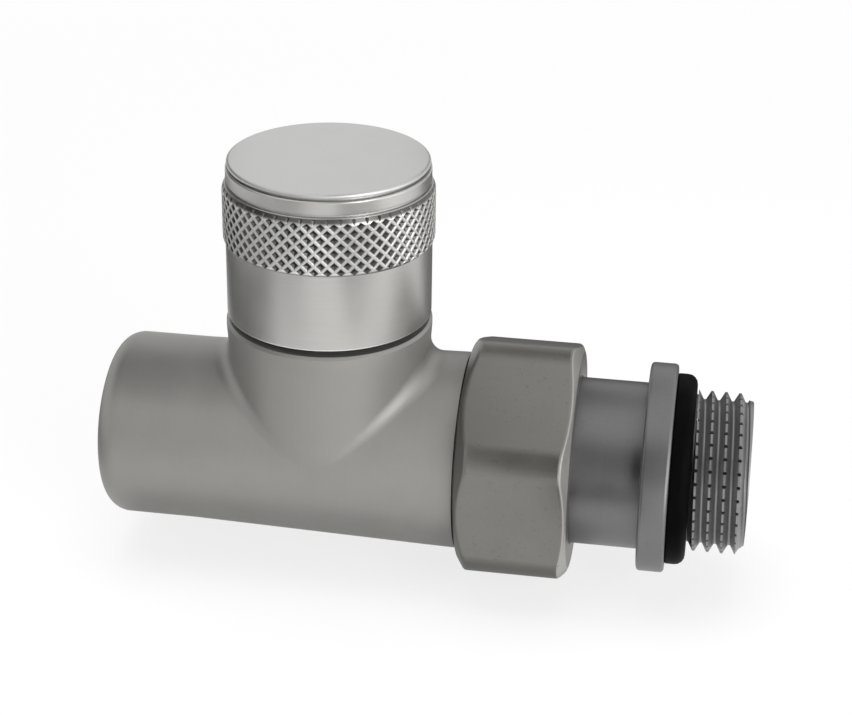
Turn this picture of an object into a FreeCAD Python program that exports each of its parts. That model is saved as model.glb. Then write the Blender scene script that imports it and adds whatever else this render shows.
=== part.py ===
import FreeCAD, Part
import math
import os
import Sketcher

# A straight shut-off valve for a radiator, shut. X runs along the tube towards the tail and Z
# runs up the spindle. The outlines are drawn from the point where these axes cross, and every
# piece is then moved along X, so that the finished valve has its origin at the mouth of the
# inlet thread. Lengths are in millimetres.

document = FreeCAD.newDocument("shut_off_valve")
sheet = document.addObject("Spreadsheet::Sheet", "Sizes")

SIZES = (
    # Play between pieces
    ("running_gap", "0.05", "radial play of pieces that turn or slide in each other"),
    ("face_gap", "0.05", "play between faces that meet"),
    ("stop_gap", "0.3", "play left where a moving piece stops"),
    ("overshoot", "1.0", "how far a cutting outline passes the face that it opens"),
    # Tube of the valve body
    ("outlet_radius", "13.0", "outer radius of the outlet arm"),
    ("tube_step", "0.8", "how much thinner the inlet arm is"),
    ("inlet_reach", "29.3", "spindle axis to the inlet end"),
    ("arm_showing", "4.0", "length of plain outlet arm beside the boss"),
    ("inlet_rounding", "3.0", "rounding of the inlet end"),
    # Boss of the valve body
    ("boss_overhang", "0.4", "how far the rim of the boss stands out over the outlet arm"),
    ("boss_top", "18.4", "tube axis to the top of the boss"),
    ("boss_rim", "1.0", "height of the straight rim above the drafted side"),
    ("boss_chamfer", "0.35", "chamfer on the rim"),
    ("foot_inset", "0.3", "how far the foot of the boss stays inside the tube"),
    ("body_fillet", "2.5", "fillet between boss and tube"),
    # Thread under the union nut
    ("union_stand", "0.1", "how far the crests stand out over the outlet arm"),
    ("union_depth", "1.16", "depth of the union thread"),
    ("union_pitch", "1.814", "pitch of the union thread"),
    ("union_length", "9.2", "threaded length"),
    ("relief_length", "1.4", "relief between the plain arm and the thread"),
    ("relief_depth", "1.3", "depth of the relief below the crests"),
    # Water way through the valve body
    ("inlet_thread_radius", "9.3155", "bore of the inlet thread"),
    ("inlet_thread_length", "13.0", "depth of the inlet thread"),
    ("inlet_countersink", "0.8", "countersink of the inlet thread"),
    ("inlet_way_radius", "4.4", "radius of the way under the seat"),
    ("inlet_way_drop", "4.6", "how far that way lies below the tube axis"),
    ("inlet_way_reach", "3.0", "how far that way runs past the spindle axis"),
    ("seat_inset", "1.7", "how far the seat washer reaches over the edge of its hole"),
    ("seat_width", "1.3", "width of the raised seat ring"),
    ("seat_height", "0.6", "height of the seat ring above the chamber floor"),
    ("chamber_floor", "1.4", "tube axis to the chamber floor"),
    ("chamber_step", "1.4", "how much narrower the chamber is than the thread above it"),
    ("outlet_way_bite", "0.8", "how far the outlet way reaches into the chamber"),
    ("outlet_way_radius", "6.0", "radius of the outlet way"),
    ("outlet_way_rise", "2.0", "how far the outlet way lies above the tube axis"),
    ("socket_wall", "3.5", "wall between that socket and the thread crests"),
    ("socket_depth", "6.5", "depth of that socket"),
    ("socket_lead", "0.5", "lead-in chamfer of the socket"),
    # Bonnet screwed into the boss
    ("recess_depth", "2.0", "depth of the recess for the bonnet flange"),
    ("recess_wall", "1.8", "wall round that recess"),
    ("head_thread_step", "1.6", "how much narrower the thread of the bonnet is than the recess"),
    ("bonnet_nose_length", "2.15", "length of the plain nose under that thread"),
    ("bonnet_flange_thickness", "1.6", "thickness of the bonnet flange"),
    ("bonnet_flats", "17.0", "width across the flats of the bonnet"),
    ("bonnet_hex_height", "3.5", "height of the bonnet hexagon"),
    ("bonnet_neck_radius", "8.0", "radius of the bonnet neck"),
    ("guide_length", "0.8", "height of the web that guides the stem"),
    ("bonnet_ring_section", "0.6", "section radius of the bonnet seal"),
    # Packing and gland
    ("stem_ring_section", "0.72", "section radius of a stem seal"),
    ("spacer_thickness", "0.5", "thickness of the washer between the stem seals"),
    ("gland_thread_radius", "6.2", "radius of the gland thread"),
    ("gland_thread_length", "1.9", "length of the gland thread"),
    ("gland_flats", "12.0", "width across the flats of the gland nut"),
    ("gland_hex_height", "2.3", "height of the gland hexagon"),
    # Spindle and the disc that it lowers on to the seat
    ("lift", "3.6", "travel of the spindle from shut to open"),
    ("stem_radius", "4.0", "radius of the stem"),
    ("spindle_thread_radius", "5.0", "radius of the spindle thread"),
    ("thread_engagement", "4.5", "thread held in the bonnet when shut"),
    ("square_width", "5.6", "width of the square end of the stem"),
    ("holder_thickness", "1.2", "thickness of the disc holder"),
    ("holder_gap", "1.1", "water gap round the disc holder"),
    ("holder_wall", "0.8", "wall of the disc holder round the seat washer"),
    ("holder_lip", "1.2", "how far its lip reaches round the washer"),
    ("holder_stem_radius", "3.2", "radius of the pin that enters the spindle"),
    ("holder_stem_length", "3.0", "length of that pin"),
    ("holder_stud_radius", "2.0", "radius of the stud through the washer"),
    ("clip_width", "0.8", "width of the clip that holds the disc holder"),
    ("clip_depth", "0.45", "how far the clip sits in each side of its joint"),
    ("washer_thickness", "2.2", "thickness of the seat washer"),
    ("washer_nut_gap", "1.0", "gap between the corners of the washer nut and its hole"),
    ("washer_nut_height", "2.2", "height of that nut"),
    # Knob
    ("knob_gap", "0.9", "gap between boss and knob when shut"),
    ("skirt_inset", "0.15", "how far the skirt stays inside the boss"),
    ("skirt_wall", "1.85", "wall of the skirt"),
    ("skirt_height", "10.2", "height of the skirt"),
    ("knurl_stand", "0.35", "how far the knurl stands out over the skirt"),
    ("knurl_height", "7.7", "height of the knurled ring"),
    ("knurl_foot_rise", "0.6", "height of the slope from the skirt out to the knurl"),
    ("knurl_chamfer", "0.4", "how far the upper end of the knurl slopes inwards"),
    ("knurl_chamfer_height", "0.95", "height of that slope"),
    ("knurl_rise", "1.714", "height from one row of pits to the next"),
    ("knurl_margin", "0.55", "lower edge of the knurl to the middle of the lowest pits"),
    ("knurl_ridge", "0.24", "width of the ridges left between the pits"),
    ("knurl_depth", "0.45", "depth of a pit"),
    ("foot_groove_height", "0.4", "height of the groove over the knurl"),
    ("foot_groove_depth", "0.3", "depth of that groove"),
    ("band_inset", "0.15", "how far the plain band stays inside the skirt"),
    ("band_height", "1.7", "height of the plain band"),
    ("band_wall", "1.2", "wall of the knob over its shoulder"),
    ("hub_gap", "1.2", "gap between gland nut and knob insert when shut"),
    ("hub_radius", "6.5", "radius of the insert's hub"),
    ("hub_length", "1.0", "height of the insert's hub"),
    ("insert_thickness", "5.0", "thickness of the insert"),
    ("screw_recess_radius", "4.6", "radius of the recess for the screw head"),
    ("screw_recess_depth", "1.0", "depth of that recess"),
    ("screw_radius", "2.0", "radius of the knob screw"),
    ("screw_length", "9.0", "length of the knob screw"),
    ("screw_head_radius", "3.6", "radius of its head"),
    ("screw_head_height", "2.2", "height of its head"),
    ("screw_key", "2.5", "width across the flats of its socket"),
    ("screw_washer_radius", "4.2", "radius of the washer under its head"),
    ("screw_washer_thickness", "0.7", "thickness of that washer"),
    # Cap of the knob
    ("cap_groove_height", "0.35", "height of the groove under the cap"),
    ("cap_groove_depth", "0.5", "depth of that groove"),
    ("cap_rim_height", "0.55", "height of the rim of the cap"),
    ("cap_rounding", "0.4", "rounding of the rim of the cap"),
    ("cap_inset", "0.15", "how far the cap stays inside the band"),
    ("cap_spigot_length", "2.6", "length of the cap inside the knob"),
    ("cap_wall", "1.1", "wall of the cap"),
    ("cap_ring_section", "0.5", "section radius of the ring that holds the cap"),
    # Union nut
    ("nut_wall", "1.85", "wall of the union nut at its flats"),
    ("nut_gap", "0.3", "gap between the plain arm and the nut"),
    ("nut_lip", "2.8", "thickness of the lip that draws the tail"),
    ("nut_clip_gap", "0.45", "gap between that lip and the tail clip"),
    ("nut_turn", "7.0", "angle that the nut is turned from upright flats"),
    ("nut_corner", "2.5", "rounding of the corners of the nut"),
    ("nut_chamfer_angle", "24.0", "slope of the end chamfers"),
    ("nut_face_inset", "0.8", "how far the end faces stay inside the flats"),
    # Tail
    ("nose_gap", "0.3", "gap between the nose of the tail and the socket floor"),
    ("nose_groove_depth", "1.3", "depth of the seal groove in the nose"),
    ("nose_groove_width", "1.8", "width of that groove"),
    ("nose_groove_inset", "2.2", "nose end to the seal groove"),
    ("nose_ring_section", "0.65", "section radius of the seal on the nose"),
    ("shoulder_height", "1.3", "how far the neck stands out over the socket"),
    ("tail_clip_width", "1.4", "width of the clip that the nut pulls on"),
    ("tail_clip_inset", "0.4", "shoulder of the tail to its clip"),
    ("tail_clip_depth", "0.9", "how deep the clip sits in the neck"),
    ("tail_clip_stand", "1.4", "how far the clip stands out of the neck"),
    ("neck_length", "8.8", "length of neck between the nut and the flange"),
    ("flange_thickness", "3.6", "thickness of the flange"),
    ("flange_chamfer", "0.3", "chamfer on the flange"),
    ("tail_thread_radius", "10.4775", "crest radius of the tail thread"),
    ("tail_thread_length", "10.0", "flange to the end of the tail"),
    ("tail_thread_chamfer", "0.7", "chamfer at the end of the tail thread"),
    ("tail_relief_depth", "0.6", "depth of the relief that holds the flange seal"),
    ("tail_relief_gap", "0.2", "gap between that seal and the thread"),
    ("tail_bore_radius", "5.8", "radius of the bore through the tail"),
    ("tail_key_flats", "12.0", "width across the flats of the key socket"),
    ("tail_key_depth", "9.0", "depth of the key socket"),
    ("seal_thickness", "2.52", "radial thickness of the flange seal"),
    ("seal_inset", "1.2", "how far the flange seal stays inside the flange"),
    ("seal_width", "2.6", "width of the flange seal"),
    ("seal_rounding", "0.9", "rounding of the flange seal"),
    ("clip_opening", "30.0", "angle left open in a split clip"),
)


class Size:
    """A length with the words that tie it to the sheet."""

    def __init__(self, words, number):
        self.words = words
        self.number = number

    def join(self, sign, other, number):
        return Size(f"({self.words} {sign} {as_size(other).words})", number)

    def __add__(self, other):
        return self.join("+", other, self.number + as_size(other).number)

    def __sub__(self, other):
        return self.join("-", other, self.number - as_size(other).number)

    def __mul__(self, other):
        return self.join("*", other, self.number * as_size(other).number)

    def __truediv__(self, other):
        return self.join("/", other, self.number / as_size(other).number)

    def __neg__(self):
        return self * -1


def as_size(value):
    return value if isinstance(value, Size) else Size(repr(float(value)), float(value))


class Sizes:
    """Every cell of the sheet by its name."""


size = Sizes()
for row, (name, number, meaning) in enumerate(SIZES, start=1):
    sheet.set(f"A{row}", meaning)
    sheet.set(f"B{row}", number)
    sheet.setAlias(f"B{row}", name)
    setattr(size, name, Size(f"Sizes.{name}", float(number)))
document.recompute()

FULL_TURN = 360.0
KNURL_PITS_ROUND = 51
KNURL_ROWS = 5
HEXAGON = 6
SQUARE = 4
frame_shift = size.inlet_reach - size.inlet_countersink


# Helpers that draw a piece

def new_body(name):
    body = document.addObject("PartDesign::Body", name)
    body.Label = name
    body.setExpression("Placement.Base.x", frame_shift.words)
    return body


def origin_plane(body, role):
    return next(item for item in body.Origin.OriginFeatures if item.Role == role)


def sketch_on(body, name, role):
    sketch = body.newObject("Sketcher::SketchObject", name)
    sketch.AttachmentSupport = [(origin_plane(body, role), "")]
    sketch.MapMode = "FlatFace"
    return sketch


def add_loop(sketch, corners):
    """Add one closed loop of lines whose corners follow the sheet."""
    first = sketch.GeometryCount
    count = len(corners)
    places = [FreeCAD.Vector(across.number, up.number, 0) for across, up in corners]
    sketch.addGeometry([Part.LineSegment(places[i], places[(i + 1) % count]) for i in range(count)])
    for i, (across, up) in enumerate(corners):
        line = first + i
        sketch.addConstraint(Sketcher.Constraint("Coincident", line, 2, first + (i + 1) % count, 1))
        for kind, value in (("DistanceX", across), ("DistanceY", up)):
            held = sketch.addConstraint(Sketcher.Constraint(kind, -1, 1, line, 1, value.number))
            if "Sizes" in value.words:
                sketch.setExpression(f"Constraints[{held}]", value.words)


def turn(body, name, *loops, axis="V_Axis", cut=False, angle=None):
    """Turn outlines about the sketch's own axis, as added or as removed material."""
    sketch = sketch_on(body, name + "_outline", "XZ_Plane")
    for corners in loops:
        add_loop(sketch, [(as_size(across), as_size(up)) for across, up in corners])
    kind = "PartDesign::Groove" if cut else "PartDesign::Revolution"
    feature = body.newObject(kind, name)
    feature.Profile = sketch
    feature.ReferenceAxis = (sketch, [axis])
    feature.Angle = FULL_TURN
    if angle is not None:
        feature.Angle = angle.number
        feature.setExpression("Angle", angle.words)
    body.Tip = feature
    return feature


def prism(body, name, sides, flats, level, height, role="XY_Plane", cut=False):
    """Pad or pocket a regular polygon, given across its flats, from a level upwards."""
    corner = flats / (2 * math.cos(math.pi / sides))
    steps = [(2 * i + 1) * math.pi / sides for i in range(sides)]
    sketch = sketch_on(body, name + "_outline", role)
    add_loop(sketch, [(corner * math.cos(step), corner * math.sin(step)) for step in steps])
    sketch.setExpression("AttachmentOffset.Base.z", as_size(level).words)
    kind = "PartDesign::Pocket" if cut else "PartDesign::Pad"
    feature = body.newObject(kind, name)
    feature.Profile = sketch
    feature.Length = height.number
    feature.setExpression("Length", height.words)
    feature.Reversed = cut
    body.Tip = feature
    return feature


def drill(body, name, radius, start, length, rise):
    """Drill along X, at a height over the tube axis."""
    hole = body.newObject("PartDesign::SubtractiveCylinder", name)
    hole.AttachmentSupport = [(origin_plane(body, "YZ_Plane"), "")]
    hole.MapMode = "FlatFace"
    hole.setExpression("Radius", radius.words)
    hole.setExpression("Height", length.words)
    hole.setExpression("AttachmentOffset.Base.y", rise.words)
    hole.setExpression("AttachmentOffset.Base.z", start.words)
    body.Tip = hole
    return hole


def edge_names(feature, wanted):
    document.recompute()
    edges = enumerate(feature.Shape.Edges, start=1)
    return [f"Edge{number}" for number, edge in edges if wanted(edge)]


def is_rim(radius, place, axis):
    """Tell whether an edge is the circle of a radius at a place along an axis."""
    def wanted(edge):
        curve = edge.Curve
        if curve.TypeId != "Part::GeomCircle":
            return False
        same_place = abs(getattr(curve.Center, axis) - place.number) < 0.001
        return same_place and abs(curve.Radius - radius.number) < 0.001
    return wanted


def dress(body, kind, name, base, edges, value):
    """Fillet or chamfer chosen edges of a feature."""
    feature = body.newObject("PartDesign::" + kind, name)
    feature.Base = (base, edges)
    bound = "Radius" if kind == "Fillet" else "Size"
    setattr(feature, bound, value.number)
    feature.setExpression(bound, value.words)
    body.Tip = feature
    return feature


def seal_ring(name, radius, section, place, along_tube=False):
    """Make a round-section ring about the spindle axis or the tube axis."""
    ring = document.addObject("Part::Torus", name)
    ring.Label = name
    ring.setExpression("Radius1", radius.words)
    ring.setExpression("Radius2", section.words)
    if along_tube:
        sideways = FreeCAD.Rotation(FreeCAD.Vector(0, 1, 0), 90)
        ring.Placement = FreeCAD.Placement(FreeCAD.Vector(), sideways)
        ring.setExpression("Placement.Base.x", (frame_shift + place).words)
    else:
        ring.setExpression("Placement.Base.x", frame_shift.words)
        ring.setExpression("Placement.Base.z", place.words)
    return ring


# Radii that follow from the tube

inlet_radius = size.outlet_radius - size.tube_step
boss_radius = size.outlet_radius + size.boss_overhang
union_radius = size.outlet_radius + size.union_stand
recess_radius = boss_radius - size.recess_wall
head_thread_radius = recess_radius - size.head_thread_step
chamber_radius = head_thread_radius - size.chamber_step
skirt_radius = boss_radius - size.skirt_inset
knurl_radius = skirt_radius + size.knurl_stand
band_radius = skirt_radius - size.band_inset
cap_radius = band_radius - size.cap_inset
socket_radius = union_radius - size.socket_wall
neck_radius = socket_radius + size.shoulder_height
tail_relief_radius = size.tail_thread_radius - size.tail_relief_depth
seal_bore = tail_relief_radius + size.running_gap
seal_radius = seal_bore + size.seal_thickness
flange_radius = seal_radius + size.seal_inset
holder_radius = chamber_radius - size.holder_gap
washer_radius = holder_radius - size.holder_wall
seat_bore_radius = washer_radius - size.seat_inset
washer_nut_flats = (seat_bore_radius - size.washer_nut_gap) * (2 * math.cos(math.pi / HEXAGON))

# Levels up the spindle axis, with the valve shut

recess_floor = size.boss_top - size.recess_depth
seat_top = size.chamber_floor + size.seat_height
washer_bottom = seat_top + size.face_gap
washer_top = washer_bottom + size.washer_thickness
holder_top = washer_top + size.holder_thickness
holder_pin_top = holder_top + size.holder_stem_length
spindle_bottom = holder_top + size.stop_gap
bonnet_bottom = holder_top + size.lift + size.stop_gap
head_shoulder = bonnet_bottom + size.bonnet_nose_length
spindle_thread_top = bonnet_bottom + size.thread_engagement
bonnet_thread_top = spindle_thread_top + size.lift + size.stop_gap
packing_floor = bonnet_thread_top + size.guide_length
lower_ring_level = packing_floor + size.face_gap + size.stem_ring_section
spacer_bottom = lower_ring_level + size.stem_ring_section + size.face_gap
spacer_top = spacer_bottom + size.spacer_thickness
upper_ring_level = spacer_top + size.face_gap + size.stem_ring_section
packing_top = upper_ring_level + size.stem_ring_section + size.face_gap
bonnet_top = packing_top + size.gland_thread_length
gland_seat = bonnet_top + size.face_gap
gland_top = gland_seat + size.gland_hex_height
skirt_bottom = size.boss_top + size.knob_gap
knurl_bottom = skirt_bottom + size.skirt_height
knurl_top = knurl_bottom + size.knurl_height
band_bottom = knurl_top + size.foot_groove_height
band_top = band_bottom + size.band_height
cap_rim_bottom = band_top + size.cap_groove_height
cap_top = cap_rim_bottom + size.cap_rim_height
hub_bottom = gland_top + size.hub_gap
shell_shoulder = hub_bottom + size.hub_length
insert_top = shell_shoulder + size.insert_thickness
screw_seat = insert_top - size.screw_recess_depth
square_top = screw_seat - size.stop_gap
screw_head_bottom = screw_seat + size.screw_washer_thickness

# Places along the tube axis

collar_reach = boss_radius + size.arm_showing
thread_start = collar_reach + size.relief_length
outlet_reach = thread_start + size.union_length
nut_start = collar_reach + size.nut_gap
socket_floor = outlet_reach - size.socket_depth
nose_end = socket_floor + size.nose_gap
tail_shoulder = outlet_reach + size.face_gap
clip_start = tail_shoulder + size.tail_clip_inset
clip_end = clip_start + size.tail_clip_width
lip_start = clip_end + size.nut_clip_gap
nut_end = lip_start + size.nut_lip
flange_start = nut_end + size.neck_length
flange_end = flange_start + size.flange_thickness
tail_end = flange_end + size.tail_thread_length

# Valve body: a hot-stamped tee, turned and bored

middle_radius = (inlet_radius + size.outlet_radius) / 2
relief_radius = union_radius - size.relief_depth
thread_root = union_radius - size.union_depth
valve_body = new_body("valve_body")
turn(
    valve_body, "tube",
    [
        (-size.inlet_reach, 0),
        (-size.inlet_reach, inlet_radius),
        (-collar_reach, inlet_radius),
        (collar_reach, size.outlet_radius),
        (collar_reach, relief_radius),
        (thread_start, relief_radius),
        (thread_start, thread_root),
        (thread_start + size.union_depth / 2, union_radius),
        (outlet_reach - size.union_depth / 2, union_radius),
        (outlet_reach, thread_root),
        (outlet_reach, 0),
    ],
    axis="H_Axis",
)
boss = turn(
    valve_body, "boss",
    [
        (0, 0),
        (middle_radius - size.foot_inset, 0),
        (boss_radius, size.boss_top - size.boss_rim),
        (boss_radius, size.boss_top - size.boss_chamfer),
        (boss_radius - size.boss_chamfer, size.boss_top),
        (0, size.boss_top),
    ],
)
crossing = edge_names(boss, lambda edge: edge.Curve.TypeId == "Part::GeomBSplineCurve")
root_fillet = dress(valve_body, "Fillet", "root_fillet", boss, crossing, size.body_fillet)
inlet_rim = edge_names(root_fillet, is_rim(inlet_radius, -size.inlet_reach, "x"))
dress(valve_body, "Fillet", "inlet_round", root_fillet, inlet_rim, size.inlet_rounding)

turns = int((size.union_length.number - size.union_depth.number) / size.union_pitch.number)
grooves = []
for number in range(turns):
    middle = thread_start + size.union_depth / 2 + size.union_pitch * (number + 0.5)
    half_width = size.union_depth * math.tan(math.radians(27.5))
    grooves.append([
        (middle - half_width, union_radius),
        (middle, thread_root),
        (middle + half_width, union_radius),
    ])
turn(valve_body, "union_thread", *grooves, axis="H_Axis", cut=True)

inlet_floor = size.inlet_thread_length - size.inlet_reach
countersink_radius = size.inlet_thread_radius + size.inlet_countersink
turn(
    valve_body, "inlet_bore",
    [
        (-size.inlet_reach, 0),
        (-size.inlet_reach, countersink_radius),
        (size.inlet_countersink - size.inlet_reach, size.inlet_thread_radius),
        (inlet_floor, size.inlet_thread_radius),
        (inlet_floor, 0),
    ],
    axis="H_Axis", cut=True,
)
way_start = inlet_floor - size.overshoot
way_length = size.inlet_way_reach - way_start
drill(valve_body, "inlet_way", size.inlet_way_radius, way_start, way_length, -size.inlet_way_drop)
seat_radius = seat_bore_radius + size.seat_width
turn(
    valve_body, "chamber",
    [
        (0, -size.inlet_way_drop),
        (seat_bore_radius, -size.inlet_way_drop),
        (seat_bore_radius, seat_top),
        (seat_radius, seat_top),
        (seat_radius, size.chamber_floor),
        (chamber_radius, size.chamber_floor),
        (chamber_radius, head_shoulder),
        (head_thread_radius + size.running_gap, head_shoulder),
        (head_thread_radius + size.running_gap, recess_floor),
        (recess_radius, recess_floor),
        (recess_radius, size.boss_top + size.overshoot),
        (0, size.boss_top + size.overshoot),
    ],
    cut=True,
)
outlet_way_start = chamber_radius - size.outlet_way_bite
outlet_way_length = socket_floor + size.overshoot - outlet_way_start
drill(
    valve_body, "outlet_way", size.outlet_way_radius,
    outlet_way_start, outlet_way_length, size.outlet_way_rise,
)
turn(
    valve_body, "tail_socket",
    [
        (socket_floor, 0),
        (socket_floor, socket_radius),
        (outlet_reach - size.socket_lead, socket_radius),
        (outlet_reach, socket_radius + size.socket_lead),
        (outlet_reach + size.overshoot, socket_radius + size.socket_lead),
        (outlet_reach + size.overshoot, 0),
    ],
    axis="H_Axis", cut=True,
)

# Bonnet: carries the spindle thread and the packing

bonnet_nose_radius = chamber_radius - size.running_gap
bonnet_flange_bottom = recess_floor + size.face_gap
bonnet_flange_top = bonnet_flange_bottom + size.bonnet_flange_thickness
bonnet_flange_radius = recess_radius - size.running_gap * 2
bonnet_thread_bottom = head_shoulder + size.face_gap
bonnet = new_body("bonnet")
turn(
    bonnet, "shank",
    [
        (0, bonnet_bottom),
        (bonnet_nose_radius, bonnet_bottom),
        (bonnet_nose_radius, bonnet_thread_bottom),
        (head_thread_radius, bonnet_thread_bottom),
        (head_thread_radius, bonnet_flange_bottom),
        (bonnet_flange_radius, bonnet_flange_bottom),
        (bonnet_flange_radius, bonnet_flange_top),
        (size.bonnet_neck_radius, bonnet_flange_top),
        (size.bonnet_neck_radius, bonnet_top),
        (0, bonnet_top),
    ],
)
prism(bonnet, "hexagon", HEXAGON, size.bonnet_flats, bonnet_flange_top, size.bonnet_hex_height)
packing_radius = size.stem_radius + size.running_gap + size.stem_ring_section * 2
turn(
    bonnet, "bore",
    [
        (0, bonnet_bottom - size.overshoot),
        (size.spindle_thread_radius + size.running_gap, bonnet_bottom - size.overshoot),
        (size.spindle_thread_radius + size.running_gap, bonnet_thread_top),
        (size.stem_radius + size.running_gap, bonnet_thread_top),
        (size.stem_radius + size.running_gap, packing_floor),
        (packing_radius + size.running_gap, packing_floor),
        (packing_radius + size.running_gap, packing_top),
        (size.gland_thread_radius + size.running_gap, packing_top),
        (size.gland_thread_radius + size.running_gap, bonnet_top + size.overshoot),
        (0, bonnet_top + size.overshoot),
    ],
    cut=True,
)
bonnet_ring_level = (bonnet_bottom + bonnet_thread_bottom) / 2
bonnet_ring_radius = bonnet_nose_radius - size.bonnet_ring_section
ring_room = size.bonnet_ring_section + size.running_gap
turn(
    bonnet, "seal_groove",
    [
        (bonnet_nose_radius - ring_room * 2, bonnet_ring_level - ring_room),
        (bonnet_nose_radius + size.overshoot, bonnet_ring_level - ring_room),
        (bonnet_nose_radius + size.overshoot, bonnet_ring_level + ring_room),
        (bonnet_nose_radius - ring_room * 2, bonnet_ring_level + ring_room),
    ],
    cut=True,
)
bonnet_ring = seal_ring(
    "bonnet_o_ring", bonnet_ring_radius, size.bonnet_ring_section, bonnet_ring_level,
)

# Packing: two seals with a washer between them, pressed by the gland nut

stem_ring_radius = size.stem_radius + size.running_gap + size.stem_ring_section
lower_ring = seal_ring(
    "stem_o_ring_lower", stem_ring_radius, size.stem_ring_section, lower_ring_level,
)
upper_ring = seal_ring(
    "stem_o_ring_upper", stem_ring_radius, size.stem_ring_section, upper_ring_level,
)
packing_washer = new_body("packing_washer")
turn(
    packing_washer, "ring",
    [
        (size.stem_radius + size.running_gap, spacer_bottom),
        (packing_radius, spacer_bottom),
        (packing_radius, spacer_top),
        (size.stem_radius + size.running_gap, spacer_top),
    ],
)
gland_nut = new_body("gland_nut")
turn(
    gland_nut, "thread",
    [
        (0, packing_top + size.face_gap),
        (size.gland_thread_radius, packing_top + size.face_gap),
        (size.gland_thread_radius, gland_seat),
        (0, gland_seat),
    ],
)
prism(gland_nut, "hexagon", HEXAGON, size.gland_flats, gland_seat, size.gland_hex_height)
turn(
    gland_nut, "bore",
    [
        (0, packing_top - size.overshoot),
        (size.stem_radius + size.running_gap, packing_top - size.overshoot),
        (size.stem_radius + size.running_gap, gland_top + size.overshoot),
        (0, gland_top + size.overshoot),
    ],
    cut=True,
)

# Spindle: threaded foot, smooth stem and a square end for the knob

pin_bore = size.holder_stem_radius + size.running_gap
clip_level = holder_top + size.holder_stem_length / 2
clip_top = clip_level + size.clip_width
clip_groove_top = clip_top + size.face_gap
clip_groove_bottom = clip_level - size.face_gap
spindle = new_body("spindle")
turn(
    spindle, "stem",
    [
        (0, spindle_bottom),
        (size.spindle_thread_radius, spindle_bottom),
        (size.spindle_thread_radius, spindle_thread_top),
        (size.stem_radius, spindle_thread_top),
        (size.stem_radius, hub_bottom),
        (0, hub_bottom),
    ],
)
prism(spindle, "square_end", SQUARE, size.square_width, hub_bottom, square_top - hub_bottom)
turn(
    spindle, "pin_socket",
    [
        (0, spindle_bottom - size.overshoot),
        (pin_bore, spindle_bottom - size.overshoot),
        (pin_bore, clip_groove_bottom),
        (pin_bore + size.clip_depth, clip_groove_bottom),
        (pin_bore + size.clip_depth, clip_groove_top),
        (pin_bore, clip_groove_top),
        (pin_bore, holder_pin_top + size.face_gap),
        (0, holder_pin_top + size.face_gap),
    ],
    cut=True,
)
screw_end = screw_head_bottom - size.screw_length
turn(
    spindle, "screw_hole",
    [
        (0, screw_end - size.stop_gap),
        (size.screw_radius + size.running_gap, screw_end - size.stop_gap),
        (size.screw_radius + size.running_gap, square_top + size.overshoot),
        (0, square_top + size.overshoot),
    ],
    cut=True,
)
split_angle = as_size(FULL_TURN) - size.clip_opening
spindle_clip = new_body("spindle_clip")
turn(
    spindle_clip, "split_ring",
    [
        (size.holder_stem_radius - size.clip_depth + size.running_gap, clip_level),
        (pin_bore + size.clip_depth - size.running_gap, clip_level),
        (pin_bore + size.clip_depth - size.running_gap, clip_top),
        (size.holder_stem_radius - size.clip_depth + size.running_gap, clip_top),
    ],
    angle=split_angle,
)

# Disc holder with its washer, which shuts the seat without turning on it

stud_bottom = washer_bottom - size.washer_nut_height - size.stop_gap
disc_holder = new_body("disc_holder")
turn(
    disc_holder, "disc",
    [
        (0, stud_bottom),
        (size.holder_stud_radius, stud_bottom),
        (size.holder_stud_radius, washer_top),
        (washer_radius + size.running_gap, washer_top),
        (washer_radius + size.running_gap, washer_top - size.holder_lip),
        (holder_radius, washer_top - size.holder_lip),
        (holder_radius, holder_top),
        (size.holder_stem_radius, holder_top),
        (size.holder_stem_radius, clip_groove_bottom),
        (size.holder_stem_radius - size.clip_depth, clip_groove_bottom),
        (size.holder_stem_radius - size.clip_depth, clip_groove_top),
        (size.holder_stem_radius, clip_groove_top),
        (size.holder_stem_radius, holder_pin_top),
        (0, holder_pin_top),
    ],
)
seat_washer = new_body("seat_washer")
turn(
    seat_washer, "ring",
    [
        (size.holder_stud_radius + size.running_gap, washer_bottom),
        (washer_radius, washer_bottom),
        (washer_radius, washer_top),
        (size.holder_stud_radius + size.running_gap, washer_top),
    ],
)
washer_nut = new_body("washer_nut")
prism(
    washer_nut, "hexagon", HEXAGON, washer_nut_flats,
    washer_bottom - size.washer_nut_height, size.washer_nut_height,
)
turn(
    washer_nut, "bore",
    [
        (0, stud_bottom - size.overshoot),
        (size.holder_stud_radius + size.running_gap, stud_bottom - size.overshoot),
        (size.holder_stud_radius + size.running_gap, washer_top),
        (0, washer_top),
    ],
    cut=True,
)

# Knob shell: skirt, knurled ring and plain band, turned from one bar

skirt_bore = skirt_radius - size.skirt_wall
shell_bore = band_radius - size.band_wall
groove_floor = band_radius - size.foot_groove_depth
knob_shell = new_body("knob_shell")
turn(
    knob_shell, "shell",
    [
        (skirt_bore, skirt_bottom),
        (skirt_radius, skirt_bottom),
        (skirt_radius, knurl_bottom),
        (knurl_radius, knurl_bottom + size.knurl_foot_rise),
        (knurl_radius, knurl_top - size.knurl_chamfer_height),
        (knurl_radius - size.knurl_chamfer, knurl_top),
        (groove_floor, knurl_top),
        (groove_floor, band_bottom),
        (band_radius, band_bottom),
        (band_radius, band_top),
        (shell_bore, band_top),
        (shell_bore, shell_shoulder),
        (skirt_bore, shell_shoulder),
    ],
)

# Its knurl: rows of pointed pits, every second row shifted by half a pit, so that two
# families of ridges are left standing and cross each other. The highest of the shifted rows
# falls above the knurl, where it cuts nothing.

pit_side = size.knurl_rise / math.sqrt(2) - size.knurl_ridge
pit_lift = size.running_gap
pit_half = pit_side * (size.knurl_depth + pit_lift) / size.knurl_depth / 2
first_row = knurl_bottom + size.knurl_margin


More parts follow.
